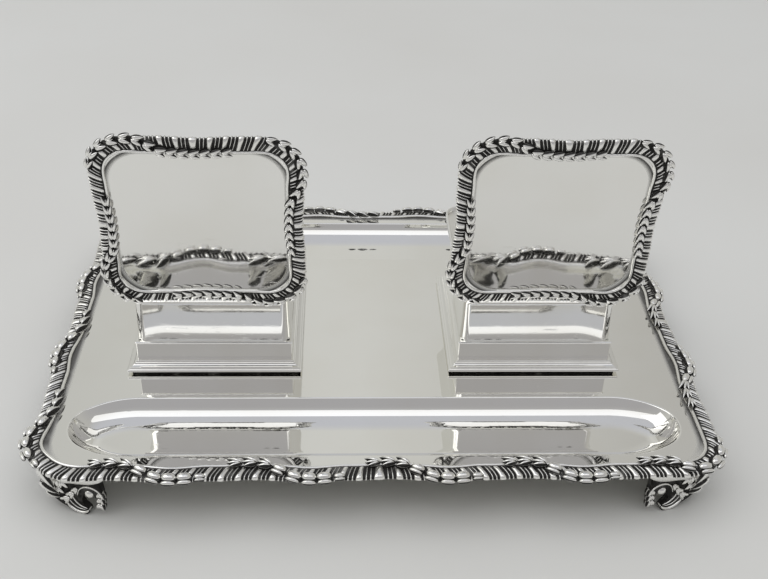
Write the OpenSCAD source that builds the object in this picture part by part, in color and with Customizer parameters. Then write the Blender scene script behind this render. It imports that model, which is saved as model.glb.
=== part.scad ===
// Desk inkstand: a footed tray with two pen troughs and two square inkwells with hinged lids.
// Millimetres. The origin is on the table under the middle of the tray, X runs to the right,
// Y runs to the back and Z runs up.

/* [Tray] */
// Width of the tray over its plain border
tray_w = 280; // [260:5:310]
// Depth of the tray over its plain border
tray_d = 210; // [200:5:235]
// Height of the tray's flat face above the table
tray_h = 24; // [22:0.5:28]
// Thickness of the tray sheet
sheet_t = 1.2; // [0.8:0.1:1.6]
// Outer radius of the tray's corners
corner_r = 25; // [21:1:30]

/* [Tray border] */
// Width of the gadroon moulding
mould_w = 6.1; // [5.5:0.1:7]
// Height of the moulding's inner edge above the sheet
mould_rise = 1.1; // [0.8:0.1:1.8]
// Depth of the moulding's outer edge below the sheet's face
mould_drop = 3.5; // [2.8:0.1:4.5]
// Height of the upright lip under the moulding
lip_h = 0.8; // [0.4:0.1:1.5]
// Wall of the border castings
cast_wall = 1.1; // [0.8:0.1:1.5]
// Width of the sheet's edge that lies under the moulding
lap = 2.4; // [1.8:0.1:3]
// Diameter of the plain wire inside the moulding
wire_d = 1.5; // [1:0.1:2]
// Radius of one husk bead in the sprays
bead_r = 2.1; // [1.5:0.1:2.3]
// Distance from one husk bead to the next
bead_pitch = 5.2; // [4:0.1:5.6]

/* [Pen troughs] */
// Distance from the tray's end to the end of a trough
trough_end = 16; // [15.5:0.5:27]
// Width of a pen trough
trough_w = 35.6; // [32:0.2:38]
// Depth of a pen trough
trough_depth = 8; // [5:0.5:11]
// Distance from the tray's outer edge to the trough
trough_inset = 14.6; // [12:0.2:17]
// Run of the hollow wall from the lip to the flat floor
trough_run = 12.8; // [9:0.2:13]

/* [Feet] */
// Thickness of a foot's scroll wings
foot_t = 4.4; // [3:0.2:6]
// Radius of the open eye of the scroll
foot_eye_r = 6; // [5:0.2:7]
// Radius of the pearl that hangs in the eye
pearl_r = 2; // [1.5:0.1:2.4]

/* [Inkwells] */
// Distance from the tray's end to the base of a well
well_end = 34; // [27:0.5:42]
// Shift of both wells towards the front
well_shift = 2; // [0:0.5:4]
// Thickness of the bottom plate
bottom_t = 1.2; // [1:0.1:2]
// Set-back of the bottom plate behind the moulding
bottom_set = 1.8; // [1:0.1:3]
// Height of the base moulding
base_h = 3.8; // [3:0.1:5]
// Step-out of the base moulding beyond the plinth band
base_step = 4.2; // [3:0.1:5]
// Half width of the plinth band
band_half = 33; // [31:0.2:35]
// Height of the plinth band with its bead
band_h = 9.5; // [7:0.5:12]
// Wall of the well's sheet pieces
wall = 1; // [0.8:0.1:1.4]
// Height of the waisted casing
casing_h = 28.5; // [26:0.5:34]
// How far the casing draws in from the band to the waist
waist_in = 1.7; // [0.8:0.1:2.4]
// How far the casing flares out from the waist to the rim
flare_out = 3.9; // [3:0.1:4.5]
// Corner radius of the casing at its waist
casing_corner_r = 3.6; // [2.5:0.1:5]
// Height of the upright lip at the rim
rim_lip_h = 3; // [2.6:0.1:4]
// Thickness of the frame that carries the glass
frame_t = 1; // [0.8:0.1:1.6]

/* [Glass] */
// Half width of the glass body
glass_half = 25.5; // [22:0.5:27]
// Corner radius of the glass body
glass_corner_r = 5; // [3:0.5:8]
// Width of the flange that rests on the frame
flange_w = 2; // [1:0.1:3]
// Thickness of that flange
flange_t = 1.3; // [1:0.1:1.6]
// Radius of the round ink well in the glass
ink_r = 20; // [14:0.5:21]
// Thickness of the glass under the ink well
glass_floor = 4; // [3:0.5:8]

/* [Lids] */
// Angle at which the lids stand open in the rest position
lid_open = 97.6; // [90:0.2:97.6]
// Thickness of the lid plate
lid_t = 1; // [0.8:0.1:1.4]
// Overhang of the lid beyond the hinge axis
lid_over = 2.8; // [2.6:0.1:3.4]
// Outer radius of the lid's corners
lid_corner_r = 20; // [15:0.5:24]
// Width of the lid's moulding
lid_mould_w = 5.8; // [5.4:0.1:6.4]
// Height of the lid moulding's inner edge above the plate
lid_mould_rise = 1.1; // [0.8:0.1:1.8]
// Depth of the lid moulding's outer edge below the plate's face
lid_mould_drop = 1.9; // [1.6:0.1:2]
// Height of the upright lip under the lid's moulding
lid_lip_h = 0.5; // [0.3:0.1:0.6]
// Diameter of the plain wire inside the lid's moulding
lid_wire_d = 1.2; // [0.8:0.1:1.6]
// Radius of one husk bead on a lid
lid_bead_r = 1.45; // [1.1:0.05:1.6]
// Distance from one husk bead to the next on a lid
lid_bead_pitch = 3.9; // [3:0.1:4.2]
// Depth of the thin ring that drops into the rim
bezel_h = 1.5; // [1:0.1:1.7]
// Gap between that ring and the rim
bezel_gap = 0.8; // [0.5:0.1:1.5]

/* [Hinges] */
// Length of one hinge knuckle
knuckle_l = 8; // [6:0.5:9]
// Outer radius of the knuckles
knuckle_r = 1.5; // [1.3:0.05:1.5]
// Radius of the hinge pin
pin_r = 0.7; // [0.5:0.05:0.8]
// Distance of the hinge axis in front of the rim
hinge_out = 1.8; // [1.8:0.05:2.1]
// Thickness of the hinge leaves
leaf_t = 0.6; // [0.4:0.05:0.7]

/* [Fixings] */
// Radius of the threaded stud under a well
stud_r = 1.9; // [1.5:0.1:2.5]
// Height of the nut
nut_h = 3; // [2:0.1:4]
// Thickness of the washer
washer_t = 0.8; // [0.5:0.1:1.2]

/* [Hidden] */
$fn = 48;

silver = [0.80, 0.80, 0.78];
bright = [0.88, 0.88, 0.86];
cast = [0.66, 0.66, 0.63];
clear = [0.80, 0.90, 0.92, 0.5];

// Small distances that parts keep from each other
rest_gap = 0.3;      // between a closed lid and the rim
run_gap = 0.05;      // between a pin or a thread and its hole
end_gap = 0.15;      // between the ends of neighbouring knuckles
glass_gap = 0.3;     // round the glass in its frame
cut = 1;             // how far a cutting shape runs past the surface it cuts

curve_steps = 10;    // points along each curve of a section

half_w = tray_w / 2;
half_d = tray_d / 2;

// ---- Sections -------------------------------------------------------------------------------

// A half outline, given from its top to its bottom, with its mirror image added
function both_sides(half) = concat(half, [for (i = [len(half) - 1:-1:0]) [-half[i][0], half[i][1]]]);

// Height of the moulding's face at a distance s from its inner edge
function ovolo_z(s, w, rise, drop) = -drop + (rise + drop) * sqrt(max(0, 1 - pow(s / w, 2)));

thin_top = 0.4;      // thickness of the casting at its inner edge

// Cross-section of a border casting, with its inner edge at x = 0 and the sheet's face at y = 0
module ovolo_section(w, rise, drop, lip) {
    in_w = w - cast_wall;
    in_h = rise + drop - thin_top;
    seat_turn = acos(drop / in_h);
    polygon(concat(
        [[0, 0]],
        [for (i = [0:curve_steps]) let (t = 90 * i / curve_steps) [w * sin(t), -drop + (rise + drop) * cos(t)]],
        [[w, -drop - lip], [in_w, -drop - lip]],
        [for (i = [0:curve_steps]) let (t = 90 + (seat_turn - 90) * i / curve_steps)
            [in_w * sin(t), -drop + in_h * cos(t)]]
    ));
}

module tray_section() ovolo_section(mould_w, mould_rise, mould_drop, lip_h);
module lid_section() ovolo_section(lid_mould_w, lid_mould_rise, lid_mould_drop, lid_lip_h);

// ---- Runs round a rounded rectangle ------------------------------------------------------------
// A run is drawn on the front side and turned to the other sides. The rectangle reaches hl to
// each end and hd to the front, and the section's inner edge lies w inside its outline.

module straight_run(x0, x1, hd, w)
    translate([x0, w - hd, 0]) mirror([0, 1, 0]) rotate([90, 0, 90]) linear_extrude(x1 - x0) children();

module corner_run(hl, hd, r, w)
    translate([hl - r, r - hd, 0]) rotate([0, 0, -90]) rotate_extrude(angle = 90) translate([r - w, 0]) children();

module full_run(hl, hd, r, w)
    for (turn = [0, 180]) rotate([0, 0, turn]) {
        straight_run(r - hl, hl - r, hd, w) children();
        corner_run(hl, hd, r, w) children();
        rotate([0, 0, 90]) {
            straight_run(r - hd, hd - r, hl, w) children();
            corner_run(hd, hl, r, w) children();
        }
    }

module rounded_slab(hl, hd, r, t)
    linear_extrude(t) union() {
        square([2 * hl, 2 * (hd - r)], center = true);
        square([2 * (hl - r), 2 * hd], center = true);
        for (x = [-1, 1], y = [-1, 1]) translate([x * (hl - r), y * (hd - r)]) circle(r);
    }

// ---- Husk sprays --------------------------------------------------------------------------------

// Place of a bead at distance x along the front side, s out from the inner edge of the moulding.
// Past the end of the straight it follows the corner.
function spray_point(x, s, z, hl, hd, r, w) =
    let (over = x - (hl - r), turn = over / (r - w / 2) * 180 / PI)
    over < 0
        ? [x, w - hd - s, z]
        : [hl - r + (r - w + s) * sin(turn), r - hd - (r - w + s) * cos(turn), z];

// A spray winds over the moulding: it starts along the inner edge and ends along the outer edge
module spray(centre, count_in, count_out, pitch, rad, hl, hd, r, w, rise, drop) {
    s_in = rad;
    s_out = w - rad * 0.12;
    for (i = [-count_in:count_out]) {
        ease = 0.5 + 0.5 * sin(90 * max(-1, min(1, i / 1.5)));
        s = s_in + (s_out - s_in) * ease;
        translate(spray_point(centre + i * pitch, s, ovolo_z(s, w, rise, drop), hl, hd, r, w))
            sphere(rad * (0.85 + 0.15 * ease));
    }
}

module tray_spray(centre, hl, hd)
    spray(centre, 3, 4, bead_pitch, bead_r, hl, hd, corner_r, mould_w, mould_rise, mould_drop);

// ---- Tray ------------------------------------------------------------------------------------------

edge_in = mould_w - lap;                     // the sheet's edge lies this far inside the outline
trough_half = trough_w / 2;
trough_y = half_d - trough_inset - trough_half;
trough_straight = half_w - trough_end - trough_half; // half length of the straight part
wall_r = (pow(trough_run, 2) + pow(trough_depth, 2)) / (2 * trough_depth);
wall_turn = asin(trough_run / wall_r);

// Half section of a trough, from its lip in to its middle. With t = 0 it is the hollow, otherwise
// the skin round the hollow.
function trough_points(t, top) = concat(
    [[trough_half + t * sin(wall_turn), top]],
    [for (i = [0:curve_steps]) let (a = wall_turn * (1 - i / curve_steps))
        [trough_half - trough_run + (wall_r + t) * sin(a), wall_r - trough_depth - (wall_r + t) * cos(a)]]
);

// One trough with its lip level with z = 0 and its middle at the origin
module trough_shape(t, top) {
    half = trough_points(t, top);
    translate([-trough_straight, 0, 0]) rotate([90, 0, 90]) linear_extrude(2 * trough_straight)
        polygon(both_sides(half));
    for (turn = [0, 180]) rotate([0, 0, turn]) translate([trough_straight, 0, 0]) rotate([0, 0, -90])
        rotate_extrude(angle = 180) polygon(concat([[0, top]], half, [[0, -trough_depth - t]]));
}

module at_troughs() for (y = [-1, 1]) translate([0, y * trough_y, 0]) children();

module tray_blank()
    translate([0, 0, -sheet_t]) rounded_slab(half_w - edge_in, half_d - edge_in, corner_r - edge_in, sheet_t);

module tray_plate() color(silver) translate([0, 0, tray_h]) difference() {
    union() {
        tray_blank();
        at_troughs() trough_shape(sheet_t, -sheet_t * cos(wall_turn));
    }
    at_troughs() trough_shape(0, cut);
    for (x = [-well_x, well_x]) translate([x, -well_shift, -sheet_t - cut])
        cylinder(h = sheet_t + 2 * cut, r = stud_r + glass_gap);
}

module rim_wire() color(bright) translate([0, 0, tray_h + wire_d / 2])
    full_run(half_w - mould_w, half_d - mould_w, corner_r - mould_w, wire_d)
        translate([wire_d / 2, 0]) circle(d = wire_d);

// Sprays are set out along the front, and again along the right side, then turned half round
spray_start = 23.2;  // from the end of the front's straight to its first spray
spray_turn = 6;      // from the end of the front's straight to the spray on the corner
side_start = 35.8;   // the same two distances for the sides
side_turn = -9;
front_count = 4;     // sprays on the front, without the one on the corner
side_count = 2;
spray_reach = 26;    // a strip ends this far before the spray on the corner
corner_stub = 8;     // straight end of the corner casting that follows the front

function spray_x(k, first, last, count) = first + k * (last - first) / count;

front_first = corner_r - half_w + spray_start;
front_last = half_w - corner_r + spray_turn;
side_first = corner_r - half_d + side_start;
side_last = half_d - corner_r + side_turn;

module border_strip(hl, hd, x0, x1, first, last, count) difference() {
    union() {
        straight_run(x0, x1, hd, mould_w) tray_section();
        for (k = [0:count - 1]) tray_spray(spray_x(k, first, last, count), hl, hd);
    }
    translate([0, 0, -sheet_t]) linear_extrude(sheet_t) square([2 * hl, 2 * (hd - edge_in)], center = true);
}

module border_corner(hl, hd, after, last) difference() {
    union() {
        straight_run(last - spray_reach, hl - corner_r, hd, mould_w) tray_section();
        corner_run(hl, hd, corner_r, mould_w) tray_section();
        if (after > 0) rotate([0, 0, 90]) straight_run(corner_r - hd, corner_r - hd + after, hl, mould_w)
            tray_section();
        tray_spray(last, hl, hd);
    }
    translate([0, 0, -sheet_t]) rounded_slab(hl - edge_in, hd - edge_in, corner_r - edge_in, sheet_t);
}

module long_strip() color(cast) translate([0, 0, tray_h])
    border_strip(half_w, half_d, corner_r - half_w, front_last - spray_reach, front_first, front_last, front_count);

module short_strip() color(cast) translate([0, 0, tray_h]) rotate([0, 0, 90])
    border_strip(half_d, half_w, corner_r - half_d + corner_stub, side_last - spray_reach,
        side_first, side_last, side_count);

module corner_after_long() color(cast) translate([0, 0, tray_h])
    border_corner(half_w, half_d, corner_stub, front_last);

module corner_after_short() color(cast) translate([0, 0, tray_h]) rotate([0, 0, 90])
    border_corner(half_d, half_w, 0, side_last);

module border_front() long_strip();
module border_right() short_strip();
module border_back() rotate([0, 0, 180]) long_strip();
module border_left() rotate([0, 0, 180]) short_strip();
module border_corner_front_right() corner_after_long();
module border_corner_back_left() rotate([0, 0, 180]) corner_after_long();
module border_corner_back_right() corner_after_short();
module border_corner_front_left() rotate([0, 0, 180]) corner_after_short();

// ---- Feet ---------------------------------------------------------------------------------------------
// A foot is a knee under the corner with two scroll wings that run off along the tray's sides.

foot_h = tray_h - sheet_t;
knee_in = corner_r / 2;             // the knee stands this far in from the outline, both ways
wing_turn = 16;                     // each wing leans this far out from the tray's side
eye_x = 15.6;                       // middle of the scroll's eye, from the knee
eye_z = foot_h - foot_eye_r - 7.2;
wing_l = 22.5;                      // length of a wing
toe_x = 14.8;                       // tip of the toe
drop_x = wing_l - 1.7;              // the husk drop hangs here

// Outline of a wing from the knee outwards, with the table at y = 0
module wing_outline() difference() {
    polygon([
        [0, foot_h], [wing_l, foot_h], [wing_l, foot_h - 6], [eye_x + foot_eye_r, eye_z + 2],
        [eye_x, eye_z], [toe_x + 1.6, 2.6], [toe_x, 0], [toe_x - 3.4, 0], [6.5, 4.4], [2.5, 9.4], [0, 15]
    ]);
    translate([eye_x, eye_z]) circle(foot_eye_r);
}

// A drop of three husks, hung with its top at the origin
module husk_drop() rotate_extrude() polygon([
    [0, 1], [1.3, 1], [1.8, -1.6], [1.1, -3.4], [2, -6], [1.2, -7.6], [2.1, -10], [0.9, -12.4], [0, -12.6]
]);

module scroll_wing() rotate([0, 0, -wing_turn]) {
    rotate([90, 0, 0]) translate([0, 0, -foot_t / 2]) linear_extrude(foot_t) wing_outline();
    translate([drop_x, 0, foot_h - 6]) husk_drop();
    translate([eye_x, 0, eye_z + foot_eye_r + end_gap - pearl_r]) sphere(pearl_r);
}

module knee() rotate_extrude() polygon([
    [0, foot_h], [4.6, foot_h], [4.8, foot_h - 6], [3.2, foot_h - 11], [1.4, foot_h - 16], [0, foot_h - 17]
]);

module foot(x, y) color(cast) mirror([x > 0 ? 1 : 0, 0, 0]) mirror([0, y > 0 ? 1 : 0, 0])
    translate([knee_in - half_w, knee_in - half_d, 0]) {
        scroll_wing();
        mirror([1, -1, 0]) scroll_wing();
        knee();
    }

module foot_front_left() foot(-1, -1);
module foot_front_right() foot(1, -1);
module foot_back_left() foot(-1, 1);
module foot_back_right() foot(1, 1);

// ---- Inkwells --------------------------------------------------------------------------------------------
// Each well is drawn with its middle at the origin and the tray's face at z = 0

base_top = bottom_t + base_h;
band_top = base_top + band_h;
well_top = band_top + casing_h;
lip_z = well_top - rim_lip_h;
base_half = band_half + base_step;
well_x = half_w - well_end - base_half;      // middle of a well, from the middle of the tray
bead_out = 0.5;                              // the band's bead stands out this far
casing_in = 0.6;                             // the casing's foot stands this far in from the band
casing_foot = band_half - casing_in;
waist_half = band_half - waist_in;
rim_half = waist_half + flare_out;
rim_in = rim_half - wall;
corner_at = waist_half - casing_corner_r;    // middle of the casing's corner arcs
waist_z = band_top + casing_h * 0.36;

module at_well(side) translate([side * well_x, -well_shift, tray_h]) children();

// A square body with sharp corners, from its half section: x = half width, y = height
module mitred(half, section) intersection_for (turn = [0, 90])
    rotate([0, 0, turn]) translate([0, half, 0]) rotate([90, 0, 0]) linear_extrude(2 * half)
        polygon(both_sides(section));

module square_tube(half, z0, z1) translate([-half, -half, z0]) cube([2 * half, 2 * half, z1 - z0]);

module bottom_plate(side) color(silver) at_well(side) {
    half = base_half - bottom_set;
    square_tube(half, 0, bottom_t);
}

module base_moulding(side) color(bright) at_well(side) difference() {
    step = base_step / 5;
    mitred(base_half, concat(
        [[band_half + step, base_top], [band_half + step, base_top - 0.7]],
        [for (i = [0:4]) let (t = 90 * i / 4)
            [base_half - step - 2.4 * step * cos(t), base_top - 0.7 - 1.2 * sin(t)]],
        [[base_half - step, bottom_t + 1.3], [base_half - 0.3, bottom_t + 1.3], [base_half, bottom_t + 1],
            [base_half, bottom_t + 0.3], [base_half - 0.3, bottom_t]]
    ));
    square_tube(band_half - wall, bottom_t - cut, base_top + cut);
}

module plinth_band(side) color(bright) at_well(side) difference() {
    mitred(band_half + bead_out, [
        [band_half, band_top], [band_half + 0.8 * bead_out, band_top - 0.2],
        [band_half + bead_out, band_top - 0.5], [band_half + 0.8 * bead_out, band_top - 0.8],
        [band_half, band_top - 1], [band_half, base_top]
    ]);
    square_tube(band_half - wall - waist_in, base_top - cut, band_top + cut);
    square_tube(band_half - wall, base_top - cut, band_top - wall);
}

// Half width of the casing at a height: in to the waist, then out to the lip
function casing_half(z) = z < waist_z
    ? waist_half + (casing_foot - waist_half) * pow((waist_z - z) / (waist_z - band_top), 2)
    : waist_half + flare_out * pow(min(1, (z - waist_z) / (lip_z - waist_z)), 2);

casing_steps = 16;
casing_face = [for (i = [0:casing_steps]) let (z = band_top + (lip_z - band_top) * i / casing_steps)
    [casing_half(z), z]];

module casing_section() translate([-corner_at, 0]) polygon(concat(
    casing_face, [[rim_half, well_top], [rim_in, well_top]],
    [for (i = [casing_steps:-1:0]) [casing_face[i][0] - wall, casing_face[i][1]]]
));

// Round a square whose corner arcs have their middles at corner_at; the section's x runs out from there
module casing_run() for (turn = [0:90:270]) rotate([0, 0, turn]) {
    translate([-corner_at, -corner_at, 0]) mirror([0, 1, 0]) rotate([90, 0, 90])
        linear_extrude(2 * corner_at) children();
    translate([corner_at, corner_at, 0]) rotate_extrude(angle = 90) children();
}

module casing(side) color(bright) at_well(side) difference() {
    casing_run() casing_section();
    at_hinge() translate([-hinge_l / 2, hinge_out - cut, leaf_bottom])
        cube([hinge_l, leaf_t + cut, hinge_drop - leaf_bottom + cut]);
}

module rounded_square(half, r) {
    square([2 * half, 2 * (half - r)], center = true);
    square([2 * (half - r), 2 * half], center = true);
    for (x = [-1, 1], y = [-1, 1]) translate([x * (half - r), y * (half - r)]) circle(r);
}

module top_frame(side) color(silver) at_well(side) translate([0, 0, lip_z]) linear_extrude(frame_t)
    difference() {
        rounded_square(rim_in, rim_in - corner_at);
        rounded_square(glass_half + glass_gap, glass_corner_r + glass_gap);
    }

module glass_liner(side) color(clear) at_well(side) difference() {
    flange_z = lip_z + frame_t;
    union() {
        translate([0, 0, base_top]) linear_extrude(flange_z - base_top) rounded_square(glass_half, glass_corner_r);
        translate([0, 0, flange_z]) linear_extrude(flange_t)
            rounded_square(glass_half + flange_w, glass_corner_r + flange_w);
    }
    translate([0, 0, base_top + glass_floor]) cylinder(h = well_top, r = ink_r);
}

module well_stud(side) color(silver) at_well(side) translate([0, 0, -stud_l]) cylinder(h = stud_l, r = stud_r);

module well_washer(side) color(silver) at_well(side) translate([0, 0, -sheet_t - washer_t]) difference() {
    cylinder(h = washer_t, r = stud_r + 3);
    translate([0, 0, -cut]) cylinder(h = washer_t + 2 * cut, r = stud_r + 0.2);
}

module well_nut(side) color(silver) at_well(side) translate([0, 0, -sheet_t - washer_t - nut_h]) difference() {
    cylinder(h = nut_h, r = stud_r * 2.1, $fn = 6);
    translate([0, 0, -cut]) cylinder(h = nut_h + 2 * cut, r = stud_r + run_gap);
}

stud_l = sheet_t + washer_t + nut_h + 1;

// ---- Hinges and lids ----------------------------------------------------------------------------------------
// The hinge axis lies along X in front of the rim. Lid pieces are drawn closed, with the axis at the
// origin and the lid reaching to the back, and are then turned open.

knuckle_count = 5;
hinge_l = knuckle_count * knuckle_l;
head_l = 0.5;                                // length of a pin's head
notch_l = hinge_l + 2 * (head_l + run_gap + rest_gap);
hinge_drop = 0.1;                            // the axis lies this far below the rim
hinge_y = rim_half + hinge_out;
leaf_bottom = hinge_drop - rim_lip_h + 0.1;
web_h = knuckle_r - end_gap;
lid_under = hinge_drop + rest_gap;
lid_top = lid_under + lid_t;
lid_half = hinge_y + lid_over;
lid_edge_in = lid_mould_w - lap;
notch_y = hinge_out + rest_gap + leaf_t - 0.1;
hinge_clear = knuckle_r + rest_gap + 0.1;

module at_hinge() translate([0, -hinge_y, well_top - hinge_drop]) children();
module at_lid(side) at_well(side) at_hinge() rotate([lid_open, 0, 0]) children();
module lid_middle() translate([0, hinge_y, 0]) children();

module along_x(x, l, r) translate([x - l / 2, 0, 0]) rotate([0, 90, 0]) cylinder(h = l, r = r);

module knuckles(first, play) for (k = [first:2:knuckle_count - 1])
    along_x((k - (knuckle_count - 1) / 2) * knuckle_l, knuckle_l - play, knuckle_r);

module pin_bore() along_x(0, hinge_l + 2 * cut, pin_r + run_gap);

module hinge_leaf(side) color(silver) at_well(side) at_hinge() difference() {
    union() {
        knuckles(0, 0);
        for (k = [0:2:knuckle_count - 1])
            translate([(k - knuckle_count / 2) * knuckle_l, 0, -web_h]) cube([knuckle_l, hinge_out + leaf_t / 2, web_h]);
        translate([-hinge_l / 2, hinge_out, leaf_bottom]) cube([hinge_l, leaf_t, hinge_drop - leaf_bottom]);
    }
    pin_bore();
}

module hinge_pin(side) color(bright) at_well(side) at_hinge() {
    along_x(0, hinge_l + 2 * (head_l + run_gap), pin_r);
    for (x = [-1, 1]) along_x(x * (hinge_l / 2 + run_gap + head_l / 2), head_l, pin_r + 0.4);
}

module lid_leaf(side) color(silver) at_lid(side) difference() {
    union() {
        knuckles(1, 2 * end_gap);
        for (k = [1:2:knuckle_count - 1])
            translate([(k - knuckle_count / 2) * knuckle_l + end_gap, 0, lid_under])
                cube([knuckle_l - 2 * end_gap, notch_y - leaf_t / 2, lid_t]);
        translate([-hinge_l / 2, notch_y - leaf_t, lid_under]) cube([hinge_l, leaf_t, lid_t]);
    }
    pin_bore();
}

module lid_blank() translate([0, 0, lid_under]) lid_middle()
    linear_extrude(lid_t) rounded_square(lid_half - lid_edge_in, lid_corner_r - lid_edge_in);

module lid_plate(side) color(bright) at_lid(side) difference() {
    lid_blank();
    translate([-notch_l / 2, -lid_half, lid_under - cut]) cube([notch_l, lid_half + notch_y, lid_t + 2 * cut]);
}

module lid_wire(side) color(bright) at_lid(side) lid_middle() translate([0, 0, lid_top + lid_wire_d / 2])
    full_run(lid_half - lid_mould_w, lid_half - lid_mould_w, lid_corner_r - lid_mould_w, lid_wire_d)
        translate([lid_wire_d / 2, 0]) circle(d = lid_wire_d);

// Room for the casing's rim under a closed lid
module rim_room() translate([0, 0, lid_under - 2 * lid_mould_drop]) lid_middle()
    linear_extrude(2 * lid_mould_drop) rounded_square(rim_half + rest_gap, rim_half + rest_gap - corner_at);

lid_spray_turn = 0.2;  // where a spray crosses the lid's moulding, before the corner begins

module lid_border(side) color(cast) at_lid(side) difference() {
    translate([0, 0, lid_top]) lid_middle() {
        full_run(lid_half, lid_half, lid_corner_r, lid_mould_w) lid_section();
        for (turn = [0:90:270]) rotate([0, 0, turn])
            spray(lid_half - lid_corner_r - lid_spray_turn * lid_corner_r, 7, 7, lid_bead_pitch, lid_bead_r,
                lid_half, lid_half, lid_corner_r, lid_mould_w, lid_mould_rise, lid_mould_drop);
    }
    lid_blank();
    rim_room();
    along_x(0, notch_l, hinge_clear);
    translate([-notch_l / 2, cast_wall - lid_over, lid_top - 4 * knuckle_r])
        cube([notch_l, lid_over + notch_y, 4 * knuckle_r]);
}

module lid_bezel(side) color(silver) at_lid(side) lid_middle() translate([0, 0, lid_under - bezel_h])
    linear_extrude(bezel_h) difference() {
        outer = rim_in - bezel_gap;
        rounded_square(outer, outer - corner_at);
        rounded_square(outer - wall * 0.8, outer - corner_at - wall * 0.8);
    }

tray_plate();
rim_wire();
border_front();
border_right();
border_back();
border_left();
border_corner_front_left();
border_corner_front_right();
border_corner_back_left();
border_corner_back_right();
foot_front_left();
foot_front_right();
foot_back_left();
foot_back_right();
bottom_plate(-1);  // bottom_plate_left
bottom_plate(1);  // bottom_plate_right
base_moulding(-1);  // base_moulding_left
base_moulding(1);  // base_moulding_right
plinth_band(-1);  // plinth_band_left
plinth_band(1);  // plinth_band_right
casing(-1);  // casing_left
casing(1);  // casing_right
top_frame(-1);  // top_frame_left
top_frame(1);  // top_frame_right
glass_liner(-1);  // glass_liner_left
glass_liner(1);  // glass_liner_right
well_stud(-1);  // well_stud_left
well_stud(1);  // well_stud_right
well_washer(-1);  // well_washer_left
well_washer(1);  // well_washer_right
well_nut(-1);  // well_nut_left
well_nut(1);  // well_nut_right
hinge_leaf(-1);  // hinge_leaf_left
hinge_leaf(1);  // hinge_leaf_right
hinge_pin(-1);  // hinge_pin_left
hinge_pin(1);  // hinge_pin_right
lid_plate(-1);  // lid_plate_left
lid_plate(1);  // lid_plate_right
lid_wire(-1);  // lid_wire_left
lid_wire(1);  // lid_wire_right
lid_border(-1);  // lid_border_left
lid_border(1);  // lid_border_right
lid_bezel(-1);  // lid_bezel_left
lid_bezel(1);  // lid_bezel_right
lid_leaf(-1);  // lid_leaf_left
lid_leaf(1);  // lid_leaf_right
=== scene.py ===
# %% [markdown]
# # A silver desk inkstand
# The object is a flat silver tray on four cast feet, with two pen troughs and two square inkwells
# whose lids stand open. Nearly all of it is polished metal, so the shapes have to be truly smooth:
# a mirror shows every kink of its surface. The moving parts and their sizes come from a packed
# engineering model, the frame, and most pieces made here stand for parts of that frame. The lesson
# goes from the sheet to its cast border, wire and husks, then to the feet, inkwells and lids, and
# ends with the hinges, the studio and the camera.

# %% Load the frame
import math
import bmesh
import bpy
import numpy as np
from mathutils import Matrix, Vector


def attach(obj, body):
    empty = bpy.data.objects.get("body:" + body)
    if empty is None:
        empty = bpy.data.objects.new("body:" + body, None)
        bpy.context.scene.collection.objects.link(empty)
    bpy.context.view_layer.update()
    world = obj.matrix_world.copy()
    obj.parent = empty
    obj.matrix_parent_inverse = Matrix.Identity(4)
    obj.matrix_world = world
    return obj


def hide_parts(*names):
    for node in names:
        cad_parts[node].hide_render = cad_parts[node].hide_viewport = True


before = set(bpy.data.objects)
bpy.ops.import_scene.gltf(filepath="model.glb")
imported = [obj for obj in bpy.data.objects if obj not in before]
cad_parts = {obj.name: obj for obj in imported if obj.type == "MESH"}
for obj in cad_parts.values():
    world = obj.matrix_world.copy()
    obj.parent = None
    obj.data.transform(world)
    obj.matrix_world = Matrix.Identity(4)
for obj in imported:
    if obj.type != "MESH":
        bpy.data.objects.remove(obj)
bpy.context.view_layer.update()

# %% [markdown]
# ## Sizes
# Lengths are written in millimetres, because a silversmith thinks in them, and are turned into
# metres when a mesh is made. They repeat the sizes of the engineering model.

# %% The sizes of the inkstand
MM = 0.001
TRAY_W, TRAY_D, TRAY_Z, SHEET = 280.0, 210.0, 24.0, 1.2
HALF_W, HALF_D, CORNER = TRAY_W / 2, TRAY_D / 2, 25.0
WELL_X, WELL_Y = 68.8, -2.0
LID_HALF, LID_CORNER, LID_OPEN = 40.1, 20.0, math.radians(97.6)
HINGE_Y, HINGE_Z = WELL_Y - 37.0, TRAY_Z + 42.9
SIDES = {"left": -1, "right": 1}
print("tray", TRAY_W, "x", TRAY_D, "mm, face", TRAY_Z, "mm above the table")

# %% [markdown]
# ## From points to a piece
# Every piece starts as an array of points and a list of faces. A sheet of points in rows and
# columns covers almost every shape here, so one helper joins such a grid into faces and another
# turns the result into an object that rides on its body. A number between 0 and 1 can be stored
# at each point as an attribute. In a groove it says how deep the point lies, and the finish later
# turns it into black tarnish, which polishing never reaches. On the tray's sheet beside the wire,
# at the margins of the lid plates and on the plates under the wells, the same number is painted
# shade, and on the plates of the feet it is both tarnish and painted shade.

# %% Helpers that make a mesh
def grid_faces(rows, cols, loop_rows=False):
    """Faces that join closed rows of points. With loop_rows the last row joins the first one too."""
    r, c = np.arange(rows if loop_rows else rows - 1), np.arange(cols)
    r, c = (a.ravel() for a in np.meshgrid(r, c, indexing="ij"))
    r2, c2 = (r + 1) % rows, (c + 1) % cols
    return np.stack([r * cols + c, r * cols + c2, r2 * cols + c2, r2 * cols + c], -1).tolist()


def tipped_faces(rows, cols):
    """Faces of rings of points that close at each end in one point more. Those two come last."""
    faces, n = grid_faces(rows, cols), rows * cols
    faces += [[n, (i + 1) % cols, i] for i in range(cols)]
    return faces + [[n + 1, n - cols + i, n - cols + (i + 1) % cols] for i in range(cols)]


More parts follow.
